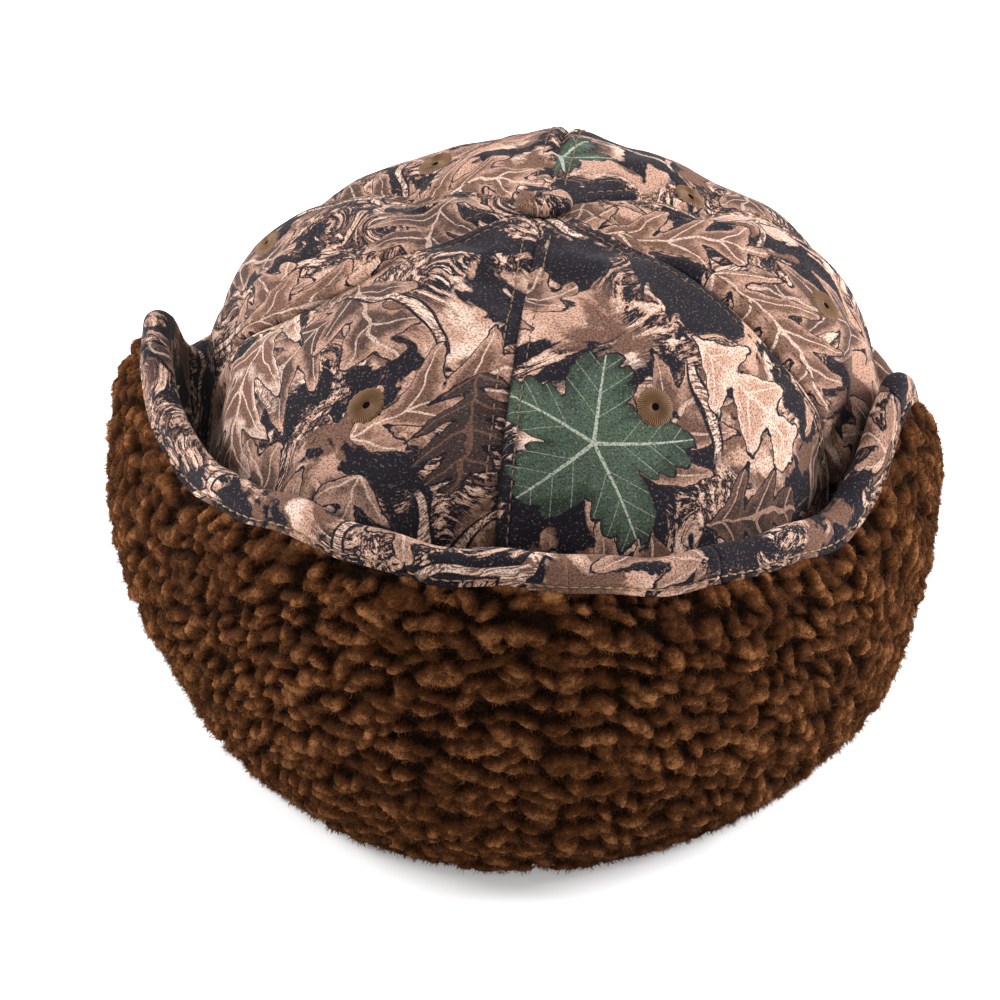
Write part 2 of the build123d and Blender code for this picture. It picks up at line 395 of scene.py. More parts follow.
def scattered(w, place, under, cell, length, half, seed, fill, tip, share):
    """One leaf in each cell of a broken-up plane, each turned its own way."""
    moved = w.vector("ADD", place, (seed * 37.0, seed * 91.0, 0.0))
    cells = w.node("TexVoronoi", {"Vector": moved, "Scale": 1.0 / cell, "Randomness": 0.8},
                   voronoi_dimensions="2D")
    pick = w.node("SeparateColor", {0: cells.outputs["Color"]}).outputs
    leaf = use(w, LOBED, Place=moved, Middle=cells.outputs["Position"], Turn=w.times(pick[0], 6.28),
               Length=length, Half_width=half, Lobes=4.0)
    shown = w.sum("LESS_THAN", pick[1], share)
    varied = w.mix(pick[2], fill, DEEP)
    coloured = leaf_colours(w, place, leaf, varied, tip, PALE, 0.55)
    return w.mix(w.times(leaf["Inside"], shown), under, coloured)


# where the cuff's cloth is cut from the print, and how far apart the panels' parts of it lie, mm
CUFF_RADIUS, CUFF_PRINT = 112.0, (150.0, 900.0)
PANEL_APART = 400.0
# panel, middle x, middle y, turn in degrees, length, half width, lobes, fill, tip, vein
BIG_LEAVES = [
    (1, -31, 127, 109, 52, 18, 4, MID, TAN, PALE), (1, -8, 168, 81, 52, 18, 4, MID, TAN, PALE),
    (0, 27, 118, 60, 48, 14, 3, TAN, PALE, PALE), (0, 19, 89, 10, 36, 13, 3, DEEP, MID, TAN),
    (3, 14, 181, -138, 54, 17, 4, MID, TAN, PALE), (5, 26, 133, -55, 56, 18, 4, MID, TAN, PALE),
    (5, -38, 103, 63, 58, 21, 4, MID, PALE, PALE), (5, 35, 121, 58, 38, 12, 4, DEEP, DEEP, MID),
]
# panel, middle x, middle y, turn in degrees, reach
GREEN_LEAVES = [(0, -22.4, 116.6, -64, 27.0), (2, 17.0, 179.0, 20, 14.0)]


def print_group():
    tree, w, i, o = group("leaf print", [PLACE], [("Color", "Color")])
    place = i["Place"]
    warp = w.node("TexNoise", {"Vector": place, "Scale": 0.02, "Detail": 2.0})
    pull = w.vector("SUBTRACT", warp.outputs["Color"], (0.5, 0.5, 0.5))
    pulled = w.vector("ADD", place, w.vector("SCALE", pull, 46.0))
    patch = w.noise(pulled, 0.04, 5.0, 0.65)
    colour = w.mix(w.step(patch, 0.40, 0.50), PALE, TAN)
    colour = w.mix(w.step(w.noise(pulled, 0.045, 5.0, 0.65), 0.47, 0.53), colour, MID)
    # bark: long thin streaks gathered into bands
    stretch = w.node("Mapping", {"Vector": pulled, "Rotation": (0, 0, 0.5), "Scale": (0.020, 0.24, 1)})
    streak = w.noise(stretch.outputs[0], 1.0, 5.0, 0.72)
    band = w.step(w.noise(pulled, 0.019, 1.0), 0.45, 0.49)
    colour = w.mix(w.times(band, w.step(streak, 0.46, 0.56)), colour, TAN)
    colour = w.mix(w.times(band, w.step(streak, 0.56, 0.62)), colour, PALE)
    line = w.step(w.sum("ABSOLUTE", w.minus(streak, 0.47)), 0.060, 0.045)
    colour = w.mix(w.times(band, line), colour, INK)
    # dark gaps between things
    gap = w.step(w.noise(pulled, 0.036, 4.0, 0.6), 0.520, 0.535)
    colour = w.mix(gap, colour, INK)
    colour = scattered(w, place, colour, 50.0, 58.0, 18.0, 1, MID, TAN, 0.52)
    colour = scattered(w, place, colour, 62.0, 64.0, 20.0, 2, MID, TAN, 0.42)
    # twigs: the borders of large warped cells, dark beside a light line
    twig = w.node("TexVoronoi", {"Vector": pulled, "Scale": 0.019, "Randomness": 1.0},
                  voronoi_dimensions="2D", feature="DISTANCE_TO_EDGE")
    near = w.over(twig.outputs["Distance"], 0.019)
    some = w.step(w.noise(place, 0.024, 1.0), 0.52, 0.55)
    grain = w.noise(stretch.outputs[0], 4.0, 2.0)
    colour = w.mix(w.times(some, w.step(near, 2.2, 1.9)), colour, INK)
    colour = w.mix(w.times(some, w.step(near, 1.3, 1.1)), colour, w.mix(w.step(grain, 0.45, 0.55), MID, PALE))
    for panel, x, y, turn, length, half, lobes, fill, tip, vein in BIG_LEAVES:
        leaf = use(w, LOBED, Place=place, Middle=(PANEL_APART * panel + x, y, 0), Turn=np.radians(turn),
                   Length=length, Half_width=half, Lobes=lobes)
        colour = w.mix(leaf["Inside"], colour, leaf_colours(w, place, leaf, fill, tip, vein, 0.75))
    for panel, x, y, turn, reach in GREEN_LEAVES:
        leaf = use(w, POINTED, Place=place, Middle=(PANEL_APART * panel + x, y, 0), Turn=np.radians(turn),
                   Reach=reach)
        painted = leaf_colours(w, place, leaf, GREEN, DARK_GREEN, PALE_GREEN, 0.75)
        colour = w.mix(leaf["Inside"], colour, painted)
    # fine ink speckle over everything
    speck = w.noise(place, 1.7, 2.0, 0.8)
    colour = w.mix(w.times(w.step(speck, 0.50, 0.57), 0.68), colour, INK)
    colour = w.mix(w.times(w.step(w.noise(place, 1.3, 2.0, 0.8), 0.60, 0.68), 0.22), colour, PALE)
    w.feed(o["Color"], colour)
    return tree


def weave_group():
    """Fine crossing threads, as a height."""
    tree, w, i, o = group("cloth weave", [PLACE, ("Threads per mm", "Float", 2.2)], HEIGHT)
    split = w.node("SeparateXYZ", {0: i["Place"]})
    rate = w.times(i["Threads per mm"], TURN)
    a = w.sum("SINE", w.times(split.outputs[0], rate))
    b = w.sum("SINE", w.times(split.outputs[1], rate))
    w.feed(o["Height"], w.plus(w.times(w.times(a, b), 0.5), 0.5))
    return tree


def grain_group():
    """Fine random roughness, as a height."""
    tree, w, i, o = group("fine grain", [
        PLACE, ("Scale", "Float", 1000.0), ("Roughness", "Float", 0.5)], HEIGHT)
    w.feed(o["Height"], w.noise(i["Place"], i["Scale"], 3.0, i["Roughness"]))
    return tree


PRINT, WEAVE, GRAIN = print_group(), weave_group(), grain_group()


# %% Materials
def new_material(name, **shader):
    """A material whose constant settings sit on the shader's own sockets."""
    m = bpy.data.materials.new(name)
    m.use_nodes = True
    s = m.node_tree.nodes["Principled BSDF"]
    for label, value in shader.items():
        s.inputs[label.replace("_", " ")].default_value = value
    return m, Wires(m.node_tree), s


def roughen(w, shader, height, strength, distance):
    """Tilts the light on a surface as its fine height would."""
    bump = w.node("Bump", {"Height": height, "Strength": strength, "Distance": distance})
    w.feed(shader.inputs["Normal"], bump.outputs[0])


def printed():
    """The print over a fine weave."""
    m, w, s = new_material("printed cloth", Roughness=0.88, Specular_IOR_Level=0.10, Sheen_Weight=0.03,
                           Sheen_Roughness=0.5)
    place = w.node("UVMap", uv_map="print").outputs[0]
    w.feed(s.inputs["Base Color"], use(w, PRINT, Place=place)["Color"])
    roughen(w, s, use(w, WEAVE, Place=place)["Height"], 0.25, 0.0002)
    return m


def pile_material():
    """Colour follows height in the curl: painted shade, near-black, at the roots and in the gaps between
    curls, warm brown further up, and a painted highlight at the tips, a little different from curl to curl.
    """
    m, w, s = new_material("pile", Roughness=0.95, Specular_IOR_Level=0.06, Sheen_Weight=0.10,
                           Sheen_Roughness=0.5, Sheen_Tint=(0.75, 0.30, 0.09, 1))
    tip = w.node("Attribute", attribute_name="tip").outputs["Fac"]
    tone = w.node("Attribute", attribute_name="tone").outputs["Fac"]
    here = w.node("TexCoord").outputs["Object"]
    fibre = w.node("Mapping", {"Vector": here, "Scale": (1.0, 1.0, 2.6)}).outputs[0]
    coarse = use(w, GRAIN, Place=here, Scale=900.0, Roughness=0.7)["Height"]
    thin = use(w, GRAIN, Place=fibre, Scale=2200.0, Roughness=0.7)["Height"]
    fine = w.plus(w.times(coarse, 0.4), w.times(thin, 0.6))
    # painted shade low in the curls, rising to a painted highlight at their tips
    ramp = w.node("ValToRGB", {"Fac": w.plus(tip, w.times(w.minus(fine, 0.5), 1.3))})
    r = ramp.color_ramp
    r.elements[0].position, r.elements[0].color = 0.30, (0.0012, 0.0006, 0.0004, 1)
    r.elements[1].position, r.elements[1].color = 1.0, (0.34, 0.145, 0.055, 1)
    middle = r.elements.new(0.68)
    middle.color = (0.070, 0.023, 0.0065, 1)
    w.feed(s.inputs["Base Color"], w.mix(w.times(tone, 0.35), ramp.outputs[0], (0.055, 0.0165, 0.004, 1)))
    roughen(w, s, fine, 0.9, 0.0006)
    return m


def plain(name, colour, rough, grain, metal=0.0, shine=0.5):
    """One colour with a fine grain that roughens it."""
    m, w, s = new_material(name, Base_Color=colour, Roughness=rough, Metallic=metal, Specular_IOR_Level=shine)
    here = w.node("TexCoord").outputs["Object"]
    roughen(w, s, use(w, GRAIN, Place=here, Scale=grain)["Height"], 0.35, 0.0003)
    return m


def satin_material():
    """Wrapped thread: painted shade, nearly black, in the grooves between the strands, and the thread's
    golden colour on top of them.
    """
    m, w, s = new_material("satin thread", Roughness=0.55, Specular_IOR_Level=0.3)
    strand = w.node("Attribute", attribute_name="strand").outputs["Fac"]
    # strand is 0 in the grooves, which get painted shade, and 1 on top of the strands
    w.feed(s.inputs["Base Color"], w.mix(strand, (0.022, 0.009, 0.004, 1), (0.17, 0.082, 0.030, 1)))
    return m


CLOTH, PILE, SATIN = printed(), pile_material(), satin_material()
THREAD = plain("golden brown thread", (0.14, 0.07, 0.03, 1), 0.6, grain=2500.0)
HEM_THREAD = plain("hem thread", (0.30, 0.17, 0.085, 1), 0.55, grain=2500.0)
LINING = plain("lining", (0.05, 0.036, 0.03, 1), 0.5, grain=1800.0)
WADDING = plain("wadding", (0.75, 0.73, 0.68, 1), 0.95, grain=500.0)
BRASS = plain("aged brass", (0.32, 0.24, 0.11, 1), 0.38, metal=1.0, grain=700.0)
LABEL = plain("label cloth", (0.62, 0.58, 0.50, 1), 0.7, grain=2000.0)
# painted shade: a near-black colour standing for the dark inside of the vent holes
VENT_SHADOW = plain("vent shadow", (0.003, 0.002, 0.002, 1), 0.95, grain=1500.0, shine=0.02)
print("materials:", len(bpy.data.materials))

# %% [markdown]
# ## The crown
# Six panels are sewn edge to edge. Stuffed cloth swells between seams and is drawn in along them, so
# the seams lie in shallow valleys, except at the back, where the seam stands up as a ridge.

# %% The crown's plain shape
LOW = 0.44


def sewn(angle, rise):
    """Where a panel's own angle ends up. The front panels are cut wider than a sixth: their side seams
    run back as they come down, more on the wearer's right."""
    right = 21.0 * smooth((0.82 - rise) / 0.34) + 1.0
    left = 8.0 + 5.0 * smooth((0.75 - rise) / 0.3)
    near_left, near_right = (
        np.cos(np.pi / 2 * np.clip((turn_of(angle) - seam) / 60, -1, 1)) ** 2 for seam in (60.0, -60.0))
    return angle + np.radians(left * near_left - right * near_right)


def crown_base(angle, rise):
    """Crown surface. rise 0 is the fold line, LOW the shoulder, 1 the top. Above the shoulder the oval
    shrinks as sin(turn) to the power 2/SQUARE while the height grows as cos(turn)."""
    angle, rise = np.broadcast_arrays(np.asarray(angle, float), np.asarray(rise, float))
    up = np.clip(rise / LOW, 0, 1)
    turn = np.clip((1 - rise) / (1 - LOW), 0, 1) * np.pi / 2
    z_low = FOLD_HEIGHT + (SHOULDER - FOLD_HEIGHT) * up
    scale_low = 1 + (SWELL - 1) * smooth(up)
    rho = np.sin(turn) ** (2 / SQUARE)
    z_high = SHOULDER + (CROWN_HEIGHT - SHOULDER) * np.cos(turn)
    is_low = rise <= LOW
    z = np.where(is_low, z_low, z_high)
    scale = np.where(is_low, scale_low, SWELL * rho)
    inset = 2.5 * np.where(is_low, smooth((z - FOLD_HEIGHT) / 7), rho)
    x, y = oval(sewn(angle, rise), scale, inset)
    return np.stack([x, y, z], -1)


SEAMS = np.arange(PANELS) * TURN / PANELS


# the crown's length from fold to top, mm, which turns rise into millimetres
CLIMB = 210


def crown_relief(angle, rise):
    """How far the cloth stands out from the plain shape, in millimetres."""
    base = crown_base(angle, rise)
    round_here = np.hypot(base[..., 0], base[..., 1])
    away = [np.abs(np.radians(turn_of(angle - seam))) * round_here for seam in SEAMS]
    nearest, rear = np.min(away, 0), away[PANELS // 2]
    room = smooth(rise / 0.12) * smooth((1 - rise) / 0.12)
    puff = -2.4 * bell(nearest, 17.0) * room
    groove = -1.1 * bell(nearest, 1.5) * smooth((1 - rise) / 0.05)
    ridge = 3.4 * bell(rear, 22.0) + 3.0 * bell(rear, 7.0) - 2.4 * bell(rear - 50.0, 22.0)
    ridge = ridge * smooth((rise - 0.55) / 0.18) * smooth((1.0 - rise) / 0.16)
    pull = 0.45 * bell(nearest - 4.5, 1.3) * room
    u, v = around(angle), rise * CLIMB
    soft = 1.2 * ripple(u, v, 3, 46) + 0.8 * ripple(u + 0.6 * v, v, 5, 21) + 0.25 * ripple(u, v, 8, 9)
    crease = -2.6 * bell((v - 118) - 0.45 * (u - 128), 5.0) * bell(u - 132, 26.0)
    dip = -1.4 * bell(round_here, 13.0)
    return puff + groove + ridge - pull + (soft + crease) * room + dip


def crown_at(angle, rise, out=0.0):
    """Finished crown surface, out millimetres off the cloth, and its outward normals."""
    d = 1e-3
    a = crown_base(angle + d, rise) - crown_base(angle - d, rise)
    r0, r1 = np.clip(rise - d, 0, 0.9995), np.clip(rise + d, 0, 0.9995)
    u = crown_base(angle, r1) - crown_base(angle, r0)
    top = np.asarray(rise) > 0.995
    n = np.where(top[..., None], np.array([0, 0, 1.0]), unit(np.cross(a, u)))
    lift = crown_relief(angle, rise) + settled(angle, rise) + out
    return crown_base(angle, rise) + n * lift[..., None], n


# %% [markdown]
# Sewing leaves a little more cloth between the seams than the smooth shape needs. A short cloth
# simulation finds where that spare cloth goes: the seams and the bottom edge are held, the cloth is
# made two percent larger, and light pressure from the wadding pushes it out.

# %% Let the crown cloth settle
ROUND, ROWS = 144, 46
HELD_TOP = 0.97
settled_table = np.zeros((ROWS, ROUND))


def settle_crown(frames=20):
    """Simulates the crown cloth and returns how far each point moved along its normal, in millimetres."""
    angle = np.arange(ROUND) * TURN / ROUND
    rise = np.linspace(0.0, HELD_TOP, ROWS)
    start, n = crown_at(angle[None], rise[:, None])
    obj = make("settling", start, sheet_faces(ROWS, ROUND, wrap=True))
    held = np.zeros((ROWS, ROUND))
    held[:3] = held[-2:] = 1.0
    held[:, ::ROUND // PANELS] = 1.0
    pins = obj.vertex_groups.new(name="held")
    pins.add([int(k) for k in np.flatnonzero(held)], 1.0, "REPLACE")
    cloth = obj.modifiers.new("cloth", "CLOTH")
    c = cloth.settings
    c.quality, c.mass, c.air_damping = 6, 0.2, 2.0
    c.tension_stiffness = c.compression_stiffness = 12.0
    c.shear_stiffness, c.bending_stiffness = 6.0, 0.4
    c.vertex_group_mass = "held"
    c.shrink_min = c.shrink_max = -0.022
    c.use_pressure, c.uniform_pressure_force = True, 4.0
    c.effector_weights.gravity = 0.0
    cloth.point_cache.frame_start, cloth.point_cache.frame_end = 1, frames
    scene = bpy.context.scene
    for frame_number in range(1, frames + 1):
        scene.frame_set(frame_number)
    after = obj.evaluated_get(bpy.context.evaluated_depsgraph_get())
    moved = np.zeros(ROWS * ROUND * 3, np.float32)
    after.data.vertices.foreach_get("co", moved)
    scene.frame_set(1)
    bpy.data.objects.remove(obj)
    return ((moved.reshape(ROWS, ROUND, 3) * 1000 - start) * n).sum(-1)


def settled(angle, rise):
    """The settled cloth's movement, read between the simulated points."""
    angle, rise = np.broadcast_arrays(np.asarray(angle, float), np.asarray(rise, float))
    a = (angle / (TURN) % 1.0) * ROUND
    r = np.clip(rise / HELD_TOP, 0, 1) * (ROWS - 1)
    a0, r0 = np.floor(a).astype(int) % ROUND, np.minimum(np.floor(r).astype(int), ROWS - 2)
    ta, tr = a - np.floor(a), r - r0
    t, a1 = settled_table, (a0 + 1) % ROUND
    low = t[r0, a0] * (1 - ta) + t[r0, a1] * ta
    high = t[r0 + 1, a0] * (1 - ta) + t[r0 + 1, a1] * ta
    return low * (1 - tr) + high * tr


settled_table = np.clip(settle_crown(), -2.5, 1.6)
print("cloth settled by, mm:", settled_table.min().round(2), "to", settled_table.max().round(2))


# %% Cut and place the six panels
def flat_place(angle, rise, index):
    """Where each point of a panel lies on the flat print: across from the middle line, and up along it.
    Each panel is cut from its own part of the print."""
    middle = (index + 0.5) * TURN / PANELS
    grid = crown_base(angle, rise)
    across = run_along(grid.swapaxes(0, 1)).T
    across = across - across[:, across.shape[1] // 2][:, None]
    up = run_along(crown_base(np.full(rise.shape[0], middle), rise[:, 0]))
    return np.stack([across + PANEL_APART * index, np.broadcast_to(up[:, None], across.shape)], -1)


def area_of(grid):
    """Area of a sheet of points in square metres."""
    a, b = np.diff(grid, axis=0)[:, :-1], np.diff(grid, axis=1)[:-1]
    return float(np.linalg.norm(np.cross(a, b), axis=-1).sum() * 1e-6)


wedge = TURN / PANELS
rise_line = np.concatenate([np.linspace(0, 0.9, 86), np.linspace(0.905, 0.9985, 16)])
for index, where in enumerate(ORDER):
    angle, rise = np.meshgrid(np.linspace(index, index + 1, 61) * wedge, rise_line)
    grid, _ = crown_at(angle, rise)
    place = flat_place(angle, rise, index)
    panel = make("panel_" + where, grid, sheet_faces(*angle.shape), uv=place, material=CLOTH)
    thicken(panel, 0.9)
    hang(panel, "crown", "printed_cloth", "crown_panel_" + where)
    wide = float(np.ptp(place[..., 0])) / 1000
    tall = float(place[-1, 0, 1]) / 1000
    min(area_of(crown_base(angle, rise)), wide * tall)
    print(where, "cut", round(1000 * wide), "by", round(1000 * tall), "mm")


# %% Wadding and lining behind the panels
def crown_shell(name, inset, thickness, low, material, quilt=0.0):
    """A closed layer inside the crown, inset below the cloth and thickened inwards."""
    angle, rise = np.meshgrid(np.linspace(0, TURN, 145)[:-1], np.linspace(0.995, low, 62))
    v = rise * CLIMB
    waves = quilt * np.abs(np.sin(9 * angle + v / 14.0) * np.sin(9 * angle - v / 14.0)) ** 0.5
    grid, _ = crown_at(angle, rise, out=-inset - waves)
    points, faces, fan = closed_rings(grid)
    obj = make(name, points, faces, material=material, extra=fan)
    thicken(obj, thickness)
    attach(obj, "crown")
    return obj


wadding = crown_shell("wadding", 2.0, 2.0, 0.05, WADDING)
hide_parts("crown_wadding")
lining = crown_shell("lining", 5.0, 0.7, 0.05, LINING, quilt=1.3)
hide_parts("crown_lining")
print("crown layers done")

# %% [markdown]
# ## The cuff
# The cuff is cloth inside and pile outside while it is turned up. Its edge runs level across the
# front, dips at the temples, rises over the ears and drops behind them. The cloth and pile are made in
# sixteen matching pieces, one for each stiff segment; each piece of cloth moves with its own segment.

# %% The cuff's shape
def along_keys(angle, *keys):
    """Smooth curve through (degrees, value) pairs."""
    turn = turn_of(angle)
    result = np.full(np.shape(turn), float(keys[0][1]))
    for (a, va), (b, vb) in zip(keys, keys[1:]):
        inside = turn >= a
        result = np.where(inside, va + (vb - va) * smooth((turn - a) / (b - a)), result)
    return result


def cuff_height(angle):
    edge = along_keys(angle, (-180, 80), (-136, 75), (-111, 74), (-87, 105), (-58, 95), (-28, 99), (0, 97.5),
                       (30, 93), (58, 87), (83, 104.5), (106, 75), (136, 75), (180, 80))
    return edge + 0.7 * np.sin(angle * 9.0) + 0.5 * np.sin(angle * 23.0 + 1.0)


def cuff_lean(angle):
    """How far the wall leans out. The ear flaps stand a little straighter than their stiff segments."""
    return np.radians(along_keys(angle, (-180, 5.0), (-135, 6.2), (-90, 7.0), (-45, 6.0), (0, 4.8), (45, 5.0),
                                 (87, 4.4), (135, 5.6), (180, 5.0)))


def tip_pull(angle, up):
    """How far the flaps' tips are drawn in towards the crown, each by its own amount."""
    most = 3.0 * bell(turn_of(angle) + 87, 26.0) + 4.5 * bell(turn_of(angle) - 84, 26.0)
    return most * smooth((up - 66) / 34)


def wall(angle, up, out):
    """Point on the turned-up cuff: up along its leaning wall from the fold line, out through it."""
    x, y = oval(angle)
    nx, ny = outward(angle)
    lean = cuff_lean(angle)
    level = up * np.sin(lean) + out * np.cos(lean) - tip_pull(angle, up)
    height = FOLD_HEIGHT + up * np.cos(lean) - out * np.sin(lean)
    return np.stack([x + nx * level, y + ny * level, height], -1)


def ramp(t, low, high):
    """Straight ramp from 0 to 1 between low and high."""
    return np.clip((t - low) / (high - low), 0, 1)


def facing_grid(angle, t):
    """Cloth face of the cuff. t 0..0.8 climbs the inside, then it rolls over the edge, then the hem
    comes down outside and tucks under."""
    high = cuff_height(angle)
    roll = HEM_OUT / 2
    waver = 0.8 * ripple(around(angle), t * 90, 21, 24) + 0.35 * ripple(around(angle), t * 90, 22, 8)
    climb = ramp(t, 0.0, 0.80)
    up = 1.5 + climb * (high - roll - 1.5)
    out = 0.5 - 1.6 * (1 - smooth((up - 3.0) / 6.0)) + waver * climb * (1 - climb) * 4
    over = ramp(t, 0.80, 0.90)
    bend = over * np.pi
    up = up + np.where(over > 0, roll * np.sin(bend), 0)
    out = np.where(over > 0, 0.5 + roll * (1 - np.cos(bend)), out)
    down = ramp(t, 0.90, 0.975)
    up = up - down * (HEM_DEPTH - roll)
    out = out + down * 0.9 + bell(down - 0.62, 0.12) * -0.55 * (down > 0) * (down < 1)
    tuck = ramp(t, 0.975, 1.0)
    up = up - 0.7 * np.sin(tuck * np.pi / 2)
    out = out - 2.6 * tuck
    puckers = 0.22 * np.sin(angle * 200) * bell(down - 0.62, 0.25)
    fringe = (t > 0.82) * (0.5 * ripple(around(angle), t * 60, 31, 13) + puckers)
    return wall(angle, up, out + fringe)


# %% Cut the cuff's cloth face into its sixteen stretches
facing_line = np.concatenate([np.linspace(*part) for part in (
    (0, 0.80, 46), (0.81, 0.90, 14), (0.905, 0.975, 14), (0.98, 1.0, 5))])
for index in range(SEGMENTS):
    angle, t = np.meshgrid(np.linspace(index - 0.5, index + 0.5, 33) * STEP, facing_line)
    grid = facing_grid(angle, t)
    along = run_along(grid[:, 16])
    turned = angle - (TURN if index > SEGMENTS // 2 else 0)
    up = np.broadcast_to(CUFF_PRINT[1] - along[:, None], angle.shape)
    place = np.stack([turned * CUFF_RADIUS + CUFF_PRINT[0], up], -1)
    body = f"cuff_{index:02d}"
    cloth = make(f"facing_{index:02d}", grid, sheet_faces(*angle.shape)[:, ::-1], uv=place, material=CLOTH)
    thicken(cloth, 0.7)
    hang(cloth, body, "printed_cloth", f"cuff_facing_{index:02d}")
    wide = float(run_along(grid[40])[-1]) / 1000
    tall = float(along[-1]) / 1000
print("cuff cloth: 16 stretches,", round(1000 * tall), "mm from fold to hem at the last one")

# %% [markdown]
# ## Stitches
# A line of stitches is one short fat thread after another, each dipping into the cloth at its ends. A
# stitch is seen only small, so each is a bent tube with five sides.

# %% Rows of stitches
def stitch_row(path, normal, pitch=2.9, length=2.4, radius=0.22):
    """Points and faces of stitches along a path of points, raised a little along its normals."""
    run = run_along(path)
    start = np.arange(0.4, run[-1] - length, pitch)
    t = np.linspace(0, 1, 5)
    where = start[:, None] + t * length
    middle = np.stack([np.interp(where, run, path[:, k]) for k in range(3)], -1)
    up = np.stack([np.interp(where, run, normal[:, k]) for k in range(3)], -1)
    middle = middle + up * (0.42 * np.sin(np.pi * t) - 0.22)[:, None]
    ahead = unit(np.gradient(middle, axis=1))
    side = unit(np.cross(ahead, up))
    lift = np.cross(side, ahead)
    fat = radius * np.array([0.35, 0.9, 1.0, 0.9, 0.35])
    a = np.arange(5) * TURN / 5
    ring = side[..., None, :] * np.cos(a)[:, None] + lift[..., None, :] * np.sin(a)[:, None]
    points = middle[..., None, :] + ring * fat[:, None, None]
    one = sheet_faces(5, 5, wrap=True)
    faces = (one[None] + (np.arange(len(start)) * 25)[:, None, None]).reshape(-1, 4)
    return points.reshape(-1, 3), faces


def join_rows(rows):
    """Several sets of points and faces as one."""
    points, faces, count = [], [], 0
    for p, f in rows:
        points.append(p)
        faces.append(f + count)
        count += len(p)
    return np.concatenate(points), np.concatenate(faces)


for k, seam in enumerate(SEAMS):
    rise = np.linspace(0.2, 0.972, 320)
    radius_here = np.hypot(*np.moveaxis(crown_base(seam, rise), -1, 0)[:2])
    rows = []
    for side in (-1, 1):
        path, n = crown_at(seam + side * 4.3 / np.maximum(radius_here, 8.0), rise, out=0.05)
        rows.append(stitch_row(path, n))
    points, faces = join_rows(rows)
    stitches = make(f"seam_stitches_{k}", points, faces, material=THREAD)
    hang(stitches, "crown", "thread")
print("seam stitches per row:", len(faces) // 40)

for index in range(SEGMENTS):
    angle = np.linspace(index - 0.5, index + 0.5, 60)[None] * STEP
    grid = facing_grid(np.repeat(angle, 3, 0), np.repeat(np.array([[0.944], [0.948], [0.952]]), 60, 1))
    n = -normals_of(grid)[1]
    points, faces = stitch_row(grid[1] + n * 0.15, n, pitch=3.0, length=2.5, radius=0.26)
    hem = make(f"hem_stitches_{index:02d}", points, faces, material=HEM_THREAD)
    hang(hem, f"cuff_{index:02d}", "thread")
print("hem stitches done")

# %% [markdown]
# ## Eyelets and the top button
# A vent eyelet is a small hole with thread wrapped over its rim, close together like satin, so its
# ring is grooved from the hole outwards. The button is a domed disc with the print stretched over it.

# %% Find a place on the crown
def rise_at(angle, height):
    """The rise at which the crown reaches a height."""
    rise = np.linspace(0.02, 0.98, 600)
    return float(np.interp(height, crown_base(np.full(600, angle), rise)[:, 2], rise))


def on_crown(angle, rise, across, up, out):
    """Points near one place on the crown: across and up along the cloth in millimetres, out off it."""
    per_side = np.linalg.norm(crown_base(angle + 0.01, rise) - crown_base(angle - 0.01, rise)) / 0.02
    per_up = np.linalg.norm(crown_base(angle, rise + 0.005) - crown_base(angle, rise - 0.005)) / 0.01
    cloth, normal = crown_at(angle + across / per_side, rise + up / per_up)
    return cloth + normal * np.asarray(out)[..., None]


def eyelet_rings(threads=46):
    """Angle round the ring, distance from its middle and height off the cloth, as sheets."""
    a, r = np.meshgrid(np.arange(threads * 6) * TURN / (threads * 6), np.linspace(0, 1, 11))
    far = 0.75 + 4.45 * r
    dome = 0.85 * np.sin(np.pi * r) ** 0.6
    strand = np.abs(np.sin(a * threads / 2))
    groove = 0.34 * (1 - strand) * np.sin(np.pi * r)
    ragged = 1 + 0.03 * np.sin(a * 17) * r
    return a, far * ragged, dome - groove - 0.25 * (r == 0) - 0.2 * (r == 1), strand


# degrees from the front, height in millimetres
eyelets = {"front_right": (-26, 119), "front_left": (28, 122), "side_left": (83, 121),
           "side_right": (-96, 121), "back_left": (128, 139), "back_right": (-140, 137)}
for where, (turn, height) in eyelets.items():
    a, far, out, strand = eyelet_rings()
    turn = np.radians(turn)
    rise = rise_at(turn, height)
    points = on_crown(turn, rise, far * np.sin(a), far * np.cos(a), out)
    faces = sheet_faces(*a.shape, wrap=True)[:, ::-1]
    # strand also drives the painted shade between the strands in the satin material
    ring = make("eyelet_ring_" + where, points, faces, values={"strand": strand}, material=SATIN)
    hang(ring, "crown", "thread", "eyelet_" + where)
    # a near-black disc in each eyelet's middle: painted shade for the vent hole, which is not cut through the
    # cloth
    a, r = np.meshgrid(np.arange(24) * np.pi / 12, np.linspace(0.25, 1, 4))
    rings = on_crown(turn, rise, 1.1 * r * np.sin(a), 1.1 * r * np.cos(a), 0.12 - 0.02 * r)
    points, faces, fan = closed_rings(rings)
    hole = make("eyelet_vent_shadow_" + where, points, faces, material=VENT_SHADOW, extra=fan)
    hang(hole, "crown", "thread")
print("eyelets:", len(eyelets))

# %% The covered button
BUTTON_RADIUS, BUTTON_FOOT, BUTTON_DOME = 7.5, 143.8, 4.8
a, r = np.meshgrid(np.arange(160) * TURN / 160, np.linspace(0.03, 1, 34))
swing = r * np.radians(118)
gather = 0.16 * np.sin(a * 17 + 1.5 * np.sin(a * 3)) * smooth((r - 0.5) / 0.4)
far = (BUTTON_RADIUS + gather) * np.sin(swing)
height = BUTTON_FOOT + BUTTON_DOME * (np.cos(swing) * 0.75 + 0.25) + 0.1 * np.sin(a * 3 + 1) * r
points = np.stack([far * np.sin(a), -far * np.cos(a), height], -1)
points, faces, fan = closed_rings(points)
button = make("covered_button", points, faces, uv=points[:, :2] + [2012.0, 40.0], material=CLOTH, extra=fan)
hang(button, "crown", "printed_cloth", "button_cap")
print("button top, mm:", points[..., 2].max().round(1))
